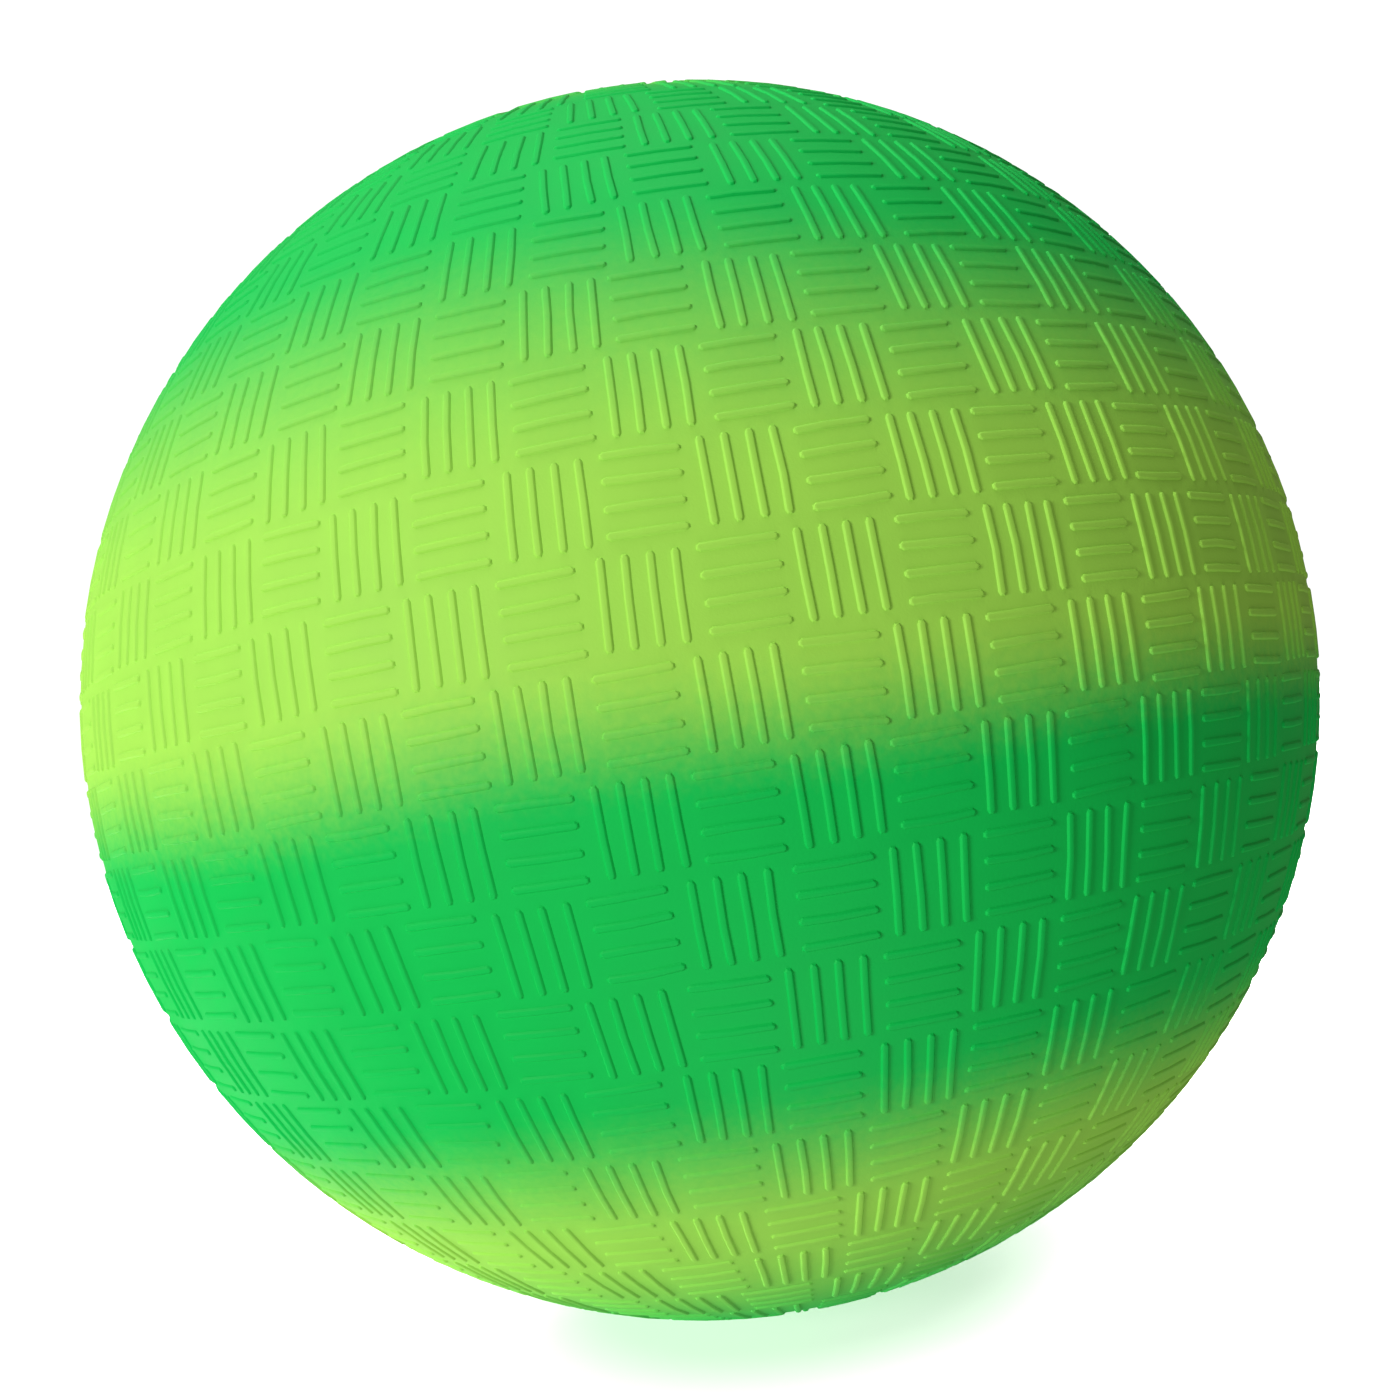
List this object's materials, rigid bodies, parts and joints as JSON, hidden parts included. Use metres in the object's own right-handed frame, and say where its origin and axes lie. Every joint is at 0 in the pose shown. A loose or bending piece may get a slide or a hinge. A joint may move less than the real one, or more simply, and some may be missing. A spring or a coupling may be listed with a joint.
{
  "type": "playground rubber ball",
  "caption": "Hollow inflatable rubber ball with a moulded basket-weave grip, a nylon-wound ply wall and a self-sealing needle valve.",
  "frame": {"origin": "the centre of the ball", "axes": "+Z along the moulding axis, which the rows of the grip pattern and the colour bands go round, out through the valve"},
  "size_m": [0.2159, 0.216, 0.2159],
  "materials": {
    "cover_rubber": "satin",
    "ply_rubber": "matte",
    "nylon_thread": "satin",
    "butyl": "satin",
    "patch_fabric": "matte",
    "housing_rubber": "matte",
    "core_rubber": "satin"
  },
  "bodies": {
    "ball": {"cover": "cover_rubber", "under_ply": "ply_rubber", "winding": "nylon_thread", "bladder": "butyl", "valve_patch": "patch_fabric", "valve_housing": "housing_rubber"},
    "core": {"valve_core": "core_rubber"}
  },
  "joints": [
    {"name": "valve_core_pull", "type": "slide", "parent": "ball", "child": "core", "axis": [0, 0, 1], "range_m": [0, 0.018]}
  ]
}
